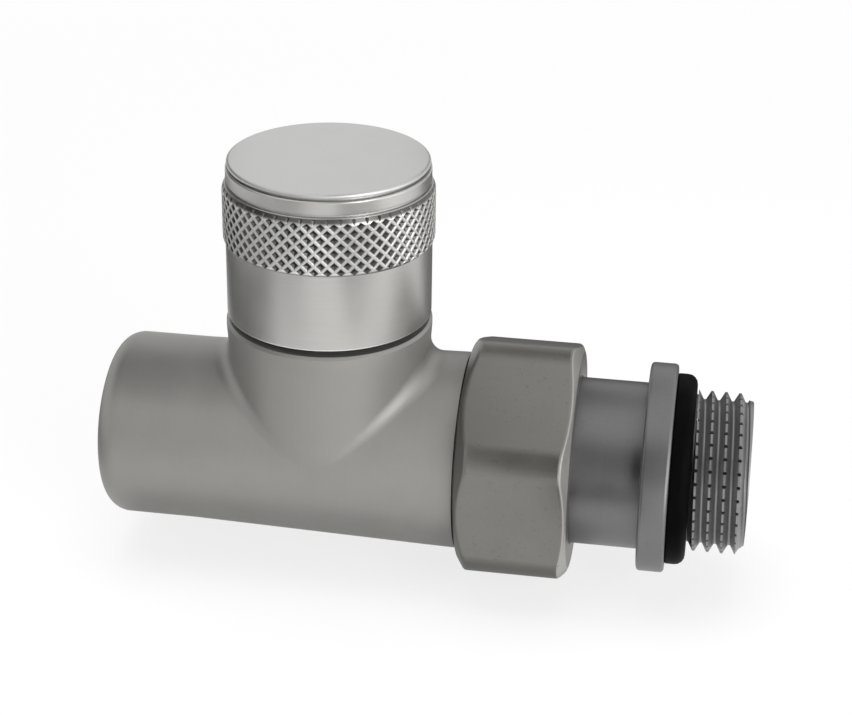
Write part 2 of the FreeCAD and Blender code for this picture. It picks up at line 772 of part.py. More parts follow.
def knurl_pit(name, level, swing):
    """Cut one pit, pointed inwards and standing on its corner, at an angle round the knob."""
    outward = FreeCAD.Rotation(FreeCAD.Vector(0, 0, 1), swing)
    on_corner = FreeCAD.Rotation(FreeCAD.Vector(0, 1, 0), 45)
    front = outward.multVec(FreeCAD.Vector(0, -1, 0))
    pit = knob_shell.newObject("PartDesign::SubtractiveWedge", name)
    pit.AttachmentSupport = [(origin_plane(knob_shell, "XY_Plane"), "")]
    pit.MapMode = "FlatFace"
    pit.AttachmentOffset = FreeCAD.Placement(FreeCAD.Vector(), outward.multiply(on_corner))
    pit.setExpression("AttachmentOffset.Base.x", (knurl_radius * front.x).words)
    pit.setExpression("AttachmentOffset.Base.y", (knurl_radius * front.y).words)
    pit.setExpression("AttachmentOffset.Base.z", level.words)
    bounds = {
        "Xmin": -pit_half, "Xmax": pit_half, "Zmin": -pit_half, "Zmax": pit_half,
        "X2min": as_size(0), "X2max": as_size(0), "Z2min": as_size(0), "Z2max": as_size(0),
        "Ymin": -pit_lift, "Ymax": size.knurl_depth,
    }
    for bound, value in bounds.items():
        setattr(pit, bound, value.number)
        pit.setExpression(bound, value.words)
    return pit


pits = [
    knurl_pit("pit", first_row, FULL_TURN / KNURL_PITS_ROUND / 2),
    knurl_pit("shifted_pit", first_row + size.knurl_rise / 2, 0),
]
upwards = knob_shell.newObject("PartDesign::LinearPattern", "rows_upwards")
upwards.Direction = (origin_plane(knob_shell, "Z_Axis"), [""])
upwards.Occurrences = KNURL_ROWS
upwards.setExpression("Length", (size.knurl_rise * (KNURL_ROWS - 1)).words)
around = knob_shell.newObject("PartDesign::PolarPattern", "pits_around")
around.Axis = (origin_plane(knob_shell, "Z_Axis"), [""])
around.Angle = FULL_TURN
around.Occurrences = KNURL_PITS_ROUND
knurl = knob_shell.newObject("PartDesign::MultiTransform", "knurl")
knurl.Originals = pits
knurl.Transformations = [upwards, around]
knob_shell.Tip = knurl

# Insert: a brass disc that carries the shell on the square of the spindle

insert = new_body("knob_insert")
turn(
    insert, "disc",
    [
        (0, hub_bottom),
        (size.hub_radius, hub_bottom),
        (size.hub_radius, shell_shoulder),
        (shell_bore - size.running_gap, shell_shoulder),
        (shell_bore - size.running_gap, insert_top),
        (0, insert_top),
    ],
)
prism(
    insert, "square_hole", SQUARE, size.square_width + size.running_gap * 2,
    hub_bottom, size.hub_length + size.insert_thickness, cut=True,
)
turn(
    insert, "screw_recess",
    [
        (0, screw_seat),
        (size.screw_recess_radius, screw_seat),
        (size.screw_recess_radius, insert_top + size.overshoot),
        (0, insert_top + size.overshoot),
    ],
    cut=True,
)
screw_washer = new_body("screw_washer")
turn(
    screw_washer, "ring",
    [
        (size.screw_radius + size.running_gap * 2, screw_seat),
        (size.screw_washer_radius, screw_seat),
        (size.screw_washer_radius, screw_head_bottom),
        (size.screw_radius + size.running_gap * 2, screw_head_bottom),
    ],
)
screw_head_top = screw_head_bottom + size.screw_head_height
knob_screw = new_body("knob_screw")
turn(
    knob_screw, "screw",
    [
        (0, screw_end),
        (size.screw_radius, screw_end),
        (size.screw_radius, screw_head_bottom),
        (size.screw_head_radius, screw_head_bottom),
        (size.screw_head_radius, screw_head_top),
        (0, screw_head_top),
    ],
)
prism(
    knob_screw, "key_socket", HEXAGON, size.screw_key,
    screw_head_top - size.screw_head_height / 2, size.screw_head_height, cut=True,
)

# Cap: closes the knob and hides its screw

cap_bottom = band_top - size.cap_spigot_length
spigot_radius = shell_bore - size.running_gap
cap_ring_level = band_top - size.cap_spigot_length / 2
cap_room = size.cap_ring_section + size.running_gap
knob_cap = new_body("knob_cap")
cap_disc = turn(
    knob_cap, "disc",
    [
        (0, cap_top - size.cap_wall),
        (spigot_radius - cap_room * 2 - size.cap_wall, cap_top - size.cap_wall),
        (spigot_radius - cap_room * 2 - size.cap_wall, cap_bottom),
        (spigot_radius, cap_bottom),
        (spigot_radius, band_top),
        (cap_radius - size.cap_groove_depth, band_top),
        (cap_radius - size.cap_groove_depth, cap_rim_bottom),
        (cap_radius, cap_rim_bottom),
        (cap_radius, cap_top),
        (0, cap_top),
    ],
)
cap_rim = edge_names(cap_disc, is_rim(cap_radius, cap_top, "z"))
dress(knob_cap, "Fillet", "rim_round", cap_disc, cap_rim, size.cap_rounding)
turn(
    knob_cap, "ring_groove",
    [
        (spigot_radius - cap_room * 2, cap_ring_level - cap_room),
        (spigot_radius + size.running_gap / 2, cap_ring_level - cap_room),
        (spigot_radius + size.running_gap / 2, cap_ring_level + cap_room),
        (spigot_radius - cap_room * 2, cap_ring_level + cap_room),
    ],
    cut=True,
)
cap_ring = seal_ring(
    "cap_ring", spigot_radius - size.cap_ring_section, size.cap_ring_section, cap_ring_level,
)

# Union nut: a chamfered hexagon with a lip that draws the tail home

nut_bore = union_radius + size.running_gap
nut_flats = (nut_bore + size.nut_wall) * 2
nut_corner_radius = nut_flats / (2 * math.cos(math.pi / HEXAGON))
face_radius = nut_flats / 2 - size.nut_face_inset
slope = math.tan(math.radians(size.nut_chamfer_angle.number))
chamfer_reach = nut_corner_radius + size.overshoot
chamfer_width = (chamfer_reach - face_radius) * slope
lip_bore = neck_radius + size.running_gap * 2
cavity_start = outlet_reach + size.stop_gap
tail_clip_radius = neck_radius + size.tail_clip_stand
cavity_radius = tail_clip_radius + size.running_gap * 2
union_nut = new_body("union_nut")
blank = prism(union_nut, "blank", HEXAGON, nut_flats, nut_start, nut_end - nut_start, role="YZ_Plane")
corners = edge_names(
    blank,
    lambda edge: edge.Curve.TypeId == "Part::GeomLine" and abs(edge.BoundBox.XLength) > 1,
)
dress(union_nut, "Fillet", "corner_round", blank, corners, size.nut_corner)
turn(
    union_nut, "end_chamfers",
    [
        (nut_start - size.overshoot, face_radius),
        (nut_start, face_radius),
        (nut_start + chamfer_width, chamfer_reach),
        (nut_start - size.overshoot, chamfer_reach),
    ],
    [
        (nut_end, face_radius),
        (nut_end + size.overshoot, face_radius),
        (nut_end + size.overshoot, chamfer_reach),
        (nut_end - chamfer_width, chamfer_reach),
    ],
    axis="H_Axis", cut=True,
)
turn(
    union_nut, "bore",
    [
        (nut_start - size.overshoot, 0),
        (nut_start - size.overshoot, nut_bore),
        (cavity_start, nut_bore),
        (cavity_start, cavity_radius),
        (lip_start, cavity_radius),
        (lip_start, lip_bore),
        (nut_end + size.overshoot, lip_bore),
        (nut_end + size.overshoot, 0),
    ],
    axis="H_Axis", cut=True,
)
union_nut.Placement = FreeCAD.Placement(
    FreeCAD.Vector(), FreeCAD.Rotation(FreeCAD.Vector(1, 0, 0), size.nut_turn.number),
)
union_nut.setExpression("Placement.Rotation.Angle", size.nut_turn.words)

# Tail: nose, neck, flange and the thread that enters the radiator

nose_radius = socket_radius - size.running_gap
nose_groove_start = nose_end + size.nose_groove_inset
nose_groove_end = nose_groove_start + size.nose_groove_width
clip_floor = neck_radius - size.tail_clip_depth
tail_relief_end = flange_end + size.seal_width + size.tail_relief_gap
tailpiece = new_body("tailpiece")
turn(
    tailpiece, "outside",
    [
        (nose_end, size.tail_bore_radius),
        (nose_end, nose_radius),
        (nose_groove_start, nose_radius),
        (nose_groove_start, nose_radius - size.nose_groove_depth),
        (nose_groove_end, nose_radius - size.nose_groove_depth),
        (nose_groove_end, nose_radius),
        (tail_shoulder, nose_radius),
        (tail_shoulder, neck_radius),
        (clip_start - size.face_gap, neck_radius),
        (clip_start - size.face_gap, clip_floor),
        (clip_end + size.face_gap, clip_floor),
        (clip_end + size.face_gap, neck_radius),
        (flange_start, neck_radius),
        (flange_start, flange_radius - size.flange_chamfer),
        (flange_start + size.flange_chamfer, flange_radius),
        (flange_end - size.flange_chamfer, flange_radius),
        (flange_end, flange_radius - size.flange_chamfer),
        (flange_end, tail_relief_radius),
        (tail_relief_end, tail_relief_radius),
        (tail_relief_end, size.tail_thread_radius),
        (tail_end - size.tail_thread_chamfer, size.tail_thread_radius),
        (tail_end, size.tail_thread_radius - size.tail_thread_chamfer),
        (tail_end, size.tail_bore_radius),
    ],
    axis="H_Axis",
)
prism(
    tailpiece, "key_socket", HEXAGON, size.tail_key_flats,
    tail_end - size.tail_key_depth, size.tail_key_depth + size.overshoot,
    role="YZ_Plane", cut=True,
)
nose_ring = seal_ring(
    "tail_o_ring", nose_radius - size.nose_ring_section, size.nose_ring_section,
    (nose_groove_start + nose_groove_end) / 2, along_tube=True,
)
tail_clip = new_body("tail_clip")
turn(
    tail_clip, "split_ring",
    [
        (clip_start, clip_floor + size.running_gap),
        (clip_start, tail_clip_radius),
        (clip_end, tail_clip_radius),
        (clip_end, clip_floor + size.running_gap),
    ],
    axis="H_Axis", angle=split_angle,
)
flange_seal = new_body("flange_seal")
seal_start = flange_end
seal_end = seal_start + size.seal_width
seal_block = turn(
    flange_seal, "ring",
    [
        (seal_start, seal_bore),
        (seal_start, seal_radius),
        (seal_end, seal_radius),
        (seal_end, seal_bore),
    ],
    axis="H_Axis",
)
seal_rim = edge_names(seal_block, is_rim(seal_radius, seal_end, "x"))
dress(flange_seal, "Fillet", "outer_round", seal_block, seal_rim, size.seal_rounding)

# Check every object, then write one file for each piece

document.recompute()
PIECES = (
    valve_body, bonnet, bonnet_ring, gland_nut, packing_washer, lower_ring, upper_ring,
    disc_holder, seat_washer, washer_nut,
    spindle, spindle_clip, knob_shell, insert, knob_screw, screw_washer, knob_cap, cap_ring,
    union_nut, tailpiece, nose_ring, tail_clip, flange_seal,
)
failed = [item.Name for item in document.Objects if {"Invalid", "Error"} & set(item.State)]
if failed:
    raise RuntimeError("these objects failed: " + ", ".join(failed))
os.makedirs("parts", exist_ok=True)
for piece in PIECES:
    shape = piece.Shape
    if shape.isNull() or not shape.isValid() or not shape.Solids:
        raise RuntimeError(piece.Label + " has no valid solid")
    shape.exportStep(os.path.join("parts", piece.Label + ".step"))
    box = shape.BoundBox
    print(
        f"{piece.Label:20s} {len(shape.Solids)} solid {shape.Volume:9.1f} mm3"
        f"  X {box.XMin:6.2f} {box.XMax:6.2f}  Z {box.ZMin:6.2f} {box.ZMax:6.2f}"
    )
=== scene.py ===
# %% [markdown]
# A straight radiator shut-off valve in satin nickel: a tee body, a turned knob with a knurled
# ring, a hexagonal union nut and a threaded tail with a rubber ring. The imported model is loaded
# first. It gives the place and the movement of every piece, so each piece below is made where the
# real one sits. Blender counts in metres; the sizes of the pieces are written in millimetres.

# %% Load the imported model
import math
import bmesh
import bpy
from mathutils import Matrix, Vector


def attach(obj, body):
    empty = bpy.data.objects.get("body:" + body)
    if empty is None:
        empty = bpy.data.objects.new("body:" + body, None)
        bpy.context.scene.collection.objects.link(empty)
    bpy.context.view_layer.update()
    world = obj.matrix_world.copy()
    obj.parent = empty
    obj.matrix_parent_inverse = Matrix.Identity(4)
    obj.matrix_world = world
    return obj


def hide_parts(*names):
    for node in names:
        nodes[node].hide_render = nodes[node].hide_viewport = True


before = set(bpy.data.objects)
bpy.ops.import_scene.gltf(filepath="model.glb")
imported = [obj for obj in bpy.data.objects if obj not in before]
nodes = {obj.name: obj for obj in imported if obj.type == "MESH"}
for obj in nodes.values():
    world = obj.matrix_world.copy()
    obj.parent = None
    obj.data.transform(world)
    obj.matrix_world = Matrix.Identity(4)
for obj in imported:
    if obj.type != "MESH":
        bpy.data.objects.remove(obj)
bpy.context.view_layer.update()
mm = 0.001
print("nodes loaded:", len(nodes))

# %% [markdown]
# The photograph was taken from the front, a little from the right and from above, with a long
# lens. The direction, the roll and the distance of the camera come from the outline of the valve,
# so the picture can be laid over the photograph.

# %% Camera
CAMERA_PLACE = (0.07792037, -0.23831979, 0.13270904)
YAW, TILT, ROLL = 0.1532096, 0.4216184, 0.0142185
LENS, SENSOR = 87.038, 36
PICTURE_WIDTH, SHIFT = 852, -80
camera_data = bpy.data.cameras.new("camera")
camera_data.lens = LENS
camera_data.sensor_width = SENSOR
camera_data.shift_y = SHIFT / PICTURE_WIDTH
camera_data.clip_start, camera_data.clip_end = 0.01, 10
forward = Vector((-math.sin(YAW) * math.cos(TILT), math.cos(YAW) * math.cos(TILT), -math.sin(TILT)))
level = Vector((math.cos(YAW), math.sin(YAW), 0))
upward = level.cross(forward)
right = level * math.cos(ROLL) + upward * math.sin(ROLL)
up = upward * math.cos(ROLL) - level * math.sin(ROLL)
turn_to_view = Matrix((right, up, -forward)).transposed().to_4x4()
camera = bpy.data.objects.new("camera", camera_data)
camera.matrix_world = Matrix.Translation(CAMERA_PLACE) @ turn_to_view
bpy.context.collection.objects.link(camera)
bpy.context.scene.camera = camera
bpy.context.scene.view_settings.view_transform = "Standard"
print("camera looks along", [round(v, 3) for v in forward])

# %% [markdown]
# A node material is a chain of small steps. One helper adds a node and fills in its settings and
# inputs, and the others name the steps that the finishes below share, so that a chain reads like
# a recipe. A number goes straight into an input, and the outcome of another step is linked to it.

# %% Node helpers
def add(tree, kind, **inputs):
    """Adds a node. An input is given by its name or, as i0, by its number."""
    node = tree.nodes.new(kind)
    for key, value in inputs.items():
        if hasattr(node, key):
            setattr(node, key, value)
            continue
        numbered = key[0] == "i" and key[1:].isdigit()
        socket = node.inputs[int(key[1:]) if numbered else key]
        if isinstance(value, bpy.types.NodeSocket):
            tree.links.new(value, socket)
        else:
            socket.default_value = value
    return node


def new_material(name):
    material = bpy.data.materials.new(name)
    material.use_nodes = True
    material.node_tree.nodes.clear()
    return material, material.node_tree


def math_step(tree, operation, first, second=0.0, third=0.0):
    return add(tree, "ShaderNodeMath", operation=operation, i0=first, i1=second, i2=third).outputs[0]


def remap(tree, value, low, high, low_out, high_out):
    node = add(tree, "ShaderNodeMapRange", i0=value, i1=low, i2=high, i3=low_out, i4=high_out)
    return node.outputs[0]


def noise(tree, place, scale, detail, roughness):
    node = add(tree, "ShaderNodeTexNoise", Vector=place, Scale=scale, Detail=detail, Roughness=roughness)
    return node.outputs["Fac"]


def opaque(colour, share=1.0):
    return (*[part * share for part in colour], 1)


def colour_blend(tree, fac, first, second):
    return add(tree, "ShaderNodeMix", data_type="RGBA", i0=fac, i6=first, i7=second).outputs[2]


# %% [markdown]
# Brushed or turned metal has fine scratches that all run one way: round the axis of the lathe.
# So the place on the surface is turned into radius, place along the axis and a slow swing round
# it. The knob turns about an upright line, the tube and the tail about the line along x. A noise
# that is read by radius and length, and changes little with the swing, gives the rings.

# %% Rings round an axis
KNOB_AXIS = (28.5 * mm, 0, 0)
AXIS_CENTRE = {"z": KNOB_AXIS, "x": (0, 0, 0)}
AXIS_GUARD = 0.0005
RING_WIDTH, RING_WAVER, RING_CHANGE = 0.12 * mm, 1.3, 2.2


def place_round(tree, axis):
    point = add(tree, "ShaderNodeTexCoord").outputs["Object"]
    back = [-c for c in AXIS_CENTRE[axis]]
    moved = add(tree, "ShaderNodeMapping", i0=point, Location=back).outputs[0]
    x, y, z = add(tree, "ShaderNodeSeparateXYZ", i0=moved).outputs
    across, beside, along = (x, y, z) if axis == "z" else (y, z, x)
    squared = math_step(tree, "MULTIPLY", across, across)
    radius = math_step(tree, "SQRT", math_step(tree, "MULTIPLY_ADD", beside, beside, squared))
    guarded = math_step(tree, "ADD", radius, AXIS_GUARD)
    swings = [math_step(tree, "DIVIDE", part, guarded) for part in (across, beside)]
    return moved, radius, along, swings


def lathe_rings(tree, radius, along, swings):
    rows = [math_step(tree, "ADD", math_step(tree, "DIVIDE", part, RING_WIDTH),
                      math_step(tree, "MULTIPLY", swing, RING_WAVER))
            for part, swing in zip((radius, along), swings)]
    change = math_step(tree, "MULTIPLY", swings[0], RING_CHANGE)
    ring_place = add(tree, "ShaderNodeCombineXYZ", i0=rows[0], i1=rows[1], i2=change).outputs[0]
    return noise(tree, ring_place, 1.0, 2.0, 0.6)


# %% [markdown]
# Highlights are painted on as bright bands on some edges, ridges and faces, and shade is painted into the
# pits of the knurl as a darker band. Both are bands on a turned piece, so a band is given by its two
# places along the axis, by the radius where it starts and the one where it is full, and by its strength.

# %% Painted highlight and shade bands
BAND_SOFTNESS = 0.05
HIGHLIGHT_COLOUR = (0.86, 0.86, 0.85)
SHADED_SHARE, SPECK_SHARE = 0.22, 0.35


def band(tree, radius, along, span):
    (low, high), (start, full), strength = span
    begins = remap(tree, along, (low - BAND_SOFTNESS) * mm, (low + BAND_SOFTNESS) * mm, 0, 1)
    ends = remap(tree, along, (high - BAND_SOFTNESS) * mm, (high + BAND_SOFTNESS) * mm, 1, 0)
    deep = remap(tree, radius, start * mm, full * mm, 0, strength)
    return math_step(tree, "MULTIPLY", math_step(tree, "MULTIPLY", begins, ends), deep)


# %% [markdown]
# Every metal of the valve is one chain: rings, a fine grain and a soft cloud are added up, and
# their sum sets the colour and the roughness. The rings and the grain also give a very shallow
# relief. The finishes differ only in the numbers. The body and the bright chamfer of the nut are
# a little less metallic than the rest, so that they also take soft light from all sides, as matt
# things do.

# %% Metal finish
GRAIN_SCALE, CLOUD_SCALE, SPECK_SCALE = 5200.0, 160.0, 1500.0
CLOUD_SHARE = 0.5
RELIEF = 0.00003


def metal_finish(name, dark, light, rough, axis, ring, grain, depth,
                 speck=0.0, metal=1.0, painted_highlights=(), shaded=()):
    material, tree = new_material(name)
    moved, radius, along, swings = place_round(tree, axis)
    rings = lathe_rings(tree, radius, along, swings)
    fine = noise(tree, moved, GRAIN_SCALE, 2.0, 0.6)
    cloud = noise(tree, moved, CLOUD_SCALE, 3.0, 0.55)
    mixed = math_step(tree, "MULTIPLY_ADD", fine, grain, math_step(tree, "MULTIPLY", rings, ring))
    tone = math_step(tree, "MULTIPLY_ADD", cloud, CLOUD_SHARE, mixed)
    lowest = 0.25
    highest = lowest + 0.5 * (grain + ring + CLOUD_SHARE) + 0.15
    base = colour_blend(tree, remap(tree, tone, lowest, highest, 0.0, 1.0), opaque(dark), opaque(light))
    if speck:
        dots = noise(tree, moved, SPECK_SCALE, 3.0, 0.6)
        spots = remap(tree, dots, 0.60, 0.76, 0.0, speck)
        base = colour_blend(tree, spots, base, opaque(dark, SPECK_SHARE))
    # Painted highlights: each band is blended towards near white.
    for span in painted_highlights:
        base = colour_blend(tree, band(tree, radius, along, span), base, opaque(HIGHLIGHT_COLOUR))
    # Painted shade: each band is blended towards a much darker copy of the colour.
    for span in shaded:
        base = colour_blend(tree, band(tree, radius, along, span), base, opaque(dark, SHADED_SHARE))
    bump = add(tree, "ShaderNodeBump", Strength=depth, Distance=RELIEF, Height=mixed).outputs[0]
    shader = add(tree, "ShaderNodeBsdfPrincipled", Metallic=metal, Normal=bump,
                 Roughness=remap(tree, tone, 0.2, 1.0, *rough))
    tree.links.new(base, shader.inputs["Base Color"])
    add(tree, "ShaderNodeOutputMaterial", Surface=shader.outputs[0])
    return material


# %% [markdown]
# Satin nickel is plated over brass that was blasted or brushed first. The knob was turned and
# brushed on the lathe, so it is the brightest and shows rings. The forged body is a little darker
# and plainer, the nut has small dark specks, and the tail is cooler in colour. Of the pieces
# inside, the bonnet is nickel too, and the other metal ones are plain brass or bright steel.

# %% Nickel, brass and steel
finish = {
    "knob": metal_finish(
        "nickel_knob", (0.46, 0.455, 0.44), (0.56, 0.555, 0.54), (0.30, 0.42), "z",
        ring=0.5, grain=0.25, depth=0.3,
        # On the knob, the bottom rim of the skirt, the tops of the knurl's ridges and the slope at its
        # foot get painted highlights, and the pits of the knurl get painted shade.
        painted_highlights=[((19.25, 19.50), (13.0, 13.1), 0.9), ((29.4, 37.3), (13.54, 13.58), 0.3),
              ((29.55, 30.0), (13.3, 13.36), 0.5)],
        shaded=[((29.5, 37.1), (13.55, 13.44), 0.95)]),
    "cap": metal_finish(
        "nickel_cap", (0.515, 0.515, 0.51), (0.595, 0.595, 0.59), (0.40, 0.52), "z",
        ring=0.2, grain=0.4, depth=0.2),
    "body": metal_finish(
        "nickel_body", (0.25, 0.247, 0.236), (0.31, 0.306, 0.293), (0.44, 0.56), "x",
        ring=0.3, grain=0.35, depth=0.25, metal=0.7),
    "nut": metal_finish(
        "nickel_nut", (0.19, 0.187, 0.175), (0.25, 0.246, 0.232), (0.36, 0.5), "x",
        ring=0.25, grain=0.4, depth=0.3, speck=0.25),
    # The nut's right chamfer: the same nickel painted lighter, a painted highlight.
    "nut_end": metal_finish(
        "nickel_nut_end_painted_highlight", (0.27, 0.266, 0.254), (0.36, 0.355, 0.343), (0.32, 0.44), "x",
        ring=0.6, grain=0.2, depth=0.3, metal=0.6),
    "tail": metal_finish(
        "nickel_tail", (0.172, 0.172, 0.174), (0.225, 0.225, 0.228), (0.38, 0.5), "x",
        ring=0.35, grain=0.35, depth=0.3, speck=0.12,
        # On the tail, the thread and its end are painted a little lighter, and the left face of the flange
        # much lighter, so that the neck mirrors less shade beside the flange: painted light.
        painted_highlights=[((76.7, 84.1), (9.0, 9.1), 0.1), ((70.35, 70.45), (11.2, 11.4), 0.4)]),
    # The faces of the thread's notches: painted shade, much darker than the tail.
    "notch": metal_finish(
        "painted_shade_notch", (0.08, 0.08, 0.08), (0.14, 0.14, 0.14), (0.45, 0.6), "x",
        ring=0.2, grain=0.4, depth=0.3),
    # The bonnet is painted lighter than it would be, so that the deep shade in the narrow gap under the
    # knob looks lighter: painted light.
    "bonnet": metal_finish(
        "nickel_bonnet_lightened", (0.34, 0.34, 0.33), (0.44, 0.44, 0.43), (0.4, 0.55), "z",
        ring=0.4, grain=0.3, depth=0.3),
    "brass": metal_finish(
        "brass_machined", (0.52, 0.36, 0.15), (0.68, 0.50, 0.24), (0.24, 0.4), "z",
        ring=0.5, grain=0.2, depth=0.3),
    "steel": metal_finish(
        "steel_bright", (0.45, 0.45, 0.46), (0.62, 0.62, 0.63), (0.22, 0.36), "z",
        ring=0.3, grain=0.3, depth=0.2),
}
print("metal finishes:", sorted(finish))

# %% [markdown]
# Rubber isn't a metal: its colour is nearly black and its gloss comes from a clear, soft
# reflection on top. Moulded rubber has a fine matt grain and a little dust in it.

# %% Rubber finishes
def rubber_finish(name, dark, light, rough, gloss):
    material, tree = new_material(name)
    place = add(tree, "ShaderNodeTexCoord").outputs["Object"]
    grain = noise(tree, place, 4200.0, 3.0, 0.6)
    cloud = noise(tree, place, 240.0, 2.0, 0.5)
    dust = remap(tree, cloud, 0.3, 0.75, 0.0, 1.0)
    bump = add(tree, "ShaderNodeBump", Strength=0.35, Distance=0.00004, Height=grain).outputs[0]
    shader = add(tree, "ShaderNodeBsdfPrincipled", Normal=bump,
                 Roughness=remap(tree, grain, 0.2, 0.8, *rough))
    shader.inputs["Specular IOR Level"].default_value = gloss
    tree.links.new(colour_blend(tree, dust, opaque(dark), opaque(light)), shader.inputs["Base Color"])
    add(tree, "ShaderNodeOutputMaterial", Surface=shader.outputs[0])
    return material


finish["ring"] = rubber_finish("rubber_flange_ring", (0.0008,) * 3, (0.0022,) * 3, (0.45, 0.60), 0.025)
finish["seal"] = rubber_finish("rubber_seals", (0.012,) * 3, (0.028,) * 3, (0.45, 0.65), 0.4)
print("rubber finishes:", finish["ring"].name, finish["seal"].name)

# %% [markdown]
# Most pieces of a valve come off a lathe, so they share one way of making: the wall is drawn as
# an outline beside the axis, its corners are rounded, and the outline is spun once round. Every
# corner is given as its place along the axis, its radius and its rounding, in millimetres.
# Rounded corners matter here, because a bright line on each edge is what makes metal look real.
# The outline is a face only while its corners are rounded; its edges alone are spun.

# %% Turned pieces
SAME_PLACE = 1e-7
STEPS_ROUND = 160


def turned(outline, axis, steps=STEPS_ROUND):
    shape = bmesh.new()
    direction = Vector((0, 0, 1)) if axis == "z" else Vector((1, 0, 0))
    outward = Vector((1, 0, 0)) if axis == "z" else Vector((0, 0, 1))
    centre = Vector(AXIS_CENTRE[axis])
    corners = [shape.verts.new(centre + (direction * along + outward * radius) * mm)
               for along, radius, _ in outline]
    shape.faces.new(corners)
    for corner, (_, _, rounding) in zip(corners, outline):
        if rounding:
            bmesh.ops.bevel(shape, geom=[corner], offset=rounding * mm, offset_type="OFFSET",
                            affect="VERTICES", segments=4, profile=0.5, material=-1)
    bmesh.ops.delete(shape, geom=shape.faces[:], context="FACES_ONLY")
    on_axis = [e for e in shape.edges
               if all((v.co - centre).cross(direction).length < SAME_PLACE for v in e.verts)]
    bmesh.ops.delete(shape, geom=on_axis, context="EDGES")
    bmesh.ops.spin(shape, geom=shape.verts[:] + shape.edges[:], cent=centre, axis=direction,
                   dvec=(0, 0, 0), angle=math.tau, steps=steps, use_merge=True, use_duplicate=False)
    bmesh.ops.remove_doubles(shape, verts=shape.verts, dist=SAME_PLACE)
    bmesh.ops.recalc_face_normals(shape, faces=shape.faces)
    return shape


def as_object(shape, name):
    mesh = bpy.data.meshes.new(name)
    shape.to_mesh(mesh)
    shape.free()
    piece = bpy.data.objects.new(name, mesh)
    bpy.context.collection.objects.link(piece)
    return piece


# %% [markdown]
# Some shapes are cut out of others, as on a machine: a tap cuts a thread into a bore, a cone
# cutter chamfers a nut. A Boolean does that. It is worked out at once and its tool is thrown
# away, so only plain meshes are left. A cut can leave points and edges that lie closer than
# anyone could see. They would spoil the shading, so they are merged. Which of two close points
# stays depends on their order, and a Boolean gives another order each time. So all is put in a
# fixed order first, and every run of this script makes the same shape.

# %% Cutting one shape with another
CRUMB = 2e-6


def in_fixed_order(shape):
    for elements, place in ((shape.verts, lambda v: v.co[:]),
                            (shape.edges, lambda e: sorted(v.index for v in e.verts)),
                            (shape.faces, lambda f: sorted(v.index for v in f.verts))):
        for number, element in enumerate(sorted(elements, key=place)):
            element.index = number
        elements.sort()
        elements.index_update()


def drop_short_edges(shape, shortest):
    short = sum(e.calc_length() < shortest for e in shape.edges)
    bmesh.ops.dissolve_degenerate(shape, dist=shortest, edges=shape.edges)
    open_edges = sum(not e.is_manifold for e in shape.edges)
    print("short edges taken out:", short, "open edges left:", open_edges)


def cut(piece, tool, operation="DIFFERENCE"):
    step = piece.modifiers.new("cut", "BOOLEAN")
    step.operation, step.object, step.solver = operation, tool, "EXACT"
    worked = piece.evaluated_get(bpy.context.evaluated_depsgraph_get())
    mesh = bpy.data.meshes.new_from_object(worked)
    piece.modifiers.clear()
    piece.data = mesh
    bpy.data.objects.remove(tool)
    result = bmesh.new()
    result.from_mesh(mesh)
    in_fixed_order(result)
    bmesh.ops.remove_doubles(result, verts=result.verts, dist=CRUMB)
    drop_short_edges(result, CRUMB)
    result.to_mesh(mesh)
    result.free()
    print(piece.name, operation.lower(), len(mesh.polygons), "faces")


# %% [markdown]
# A finished piece takes its material, smooth faces with sharp edges, and the place of its solid:
# it rides on the same moving body and replaces the solid in the picture.

# %% Dressing a piece
def dress(piece, node, body, finish_name, sharp=28):
    if not piece.data.materials:
        piece.data.materials.append(finish[finish_name])
    piece.data.shade_smooth()
    piece.data.set_sharp_from_angle(angle=math.radians(sharp))
    weights = piece.modifiers.new("even_shading", "WEIGHTED_NORMAL")
    weights.keep_sharp = True
    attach(piece, body)
    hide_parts(node)
    print(piece.name, len(piece.data.polygons), "faces")


# %% [markdown]
# The lid of the knob is a flat disc with a soft rim. A narrow groove under it shows as a dark
# line, and its spigot goes down into the knob.

# %% Knob lid
lid_outline = [
    (39.10, 0, 0), (40.20, 0, 0), (40.20, 12.95, 0.40), (39.65, 12.95, 0.06), (39.65, 12.45, 0),
    (39.30, 12.45, 0), (39.30, 11.85, 0), (38.55, 11.85, 0), (38.55, 10.75, 0), (37.45, 10.75, 0),
    (37.45, 11.85, 0), (36.70, 11.85, 0.1), (36.70, 9.65, 0.1), (39.10, 9.65, 0),
]
lid = as_object(turned(lid_outline, "z"), "knob_lid")
dress(lid, "knob_cap", "handwheel", "cap")

# %% [markdown]
# The knob's shell is one turned piece: a skirt, a ring that stands a little proud for the knurl,
# a shallow groove and a plain band. The blank is turned first, with the ring a hair over its size,
# because the knurl below brings its own outer surface.

# %% Knob blank
PITS_ROUND, KNURL_RADIUS, SKIRT_RADIUS = 51, 13.60, 13.25
KNURL_FOOT, KNURL_TOP = 29.50, 37.20
BLANK_RADIUS = KNURL_RADIUS + 0.02
blank_outline = [
    (19.30, 11.40, 0), (19.30, SKIRT_RADIUS, 0.14), (KNURL_FOOT, SKIRT_RADIUS, 0.05),
    (KNURL_FOOT + 0.15, 13.48, 0.03), (KNURL_FOOT + 0.60, BLANK_RADIUS, 0.05),
    (KNURL_TOP - 0.95, BLANK_RADIUS, 0.15), (KNURL_TOP, 13.20, 0.08), (KNURL_TOP, 12.80, 0.04),
    (37.60, 12.80, 0.04), (37.60, 13.10, 0.05), (39.30, 13.10, 0.30), (39.30, 11.90, 0),
    (36.70, 11.90, 0), (36.70, 11.40, 0),
]
knob = as_object(turned(blank_outline, "z", PITS_ROUND * 4), "knob_body")
print("faces of the blank:", len(knob.data.polygons))

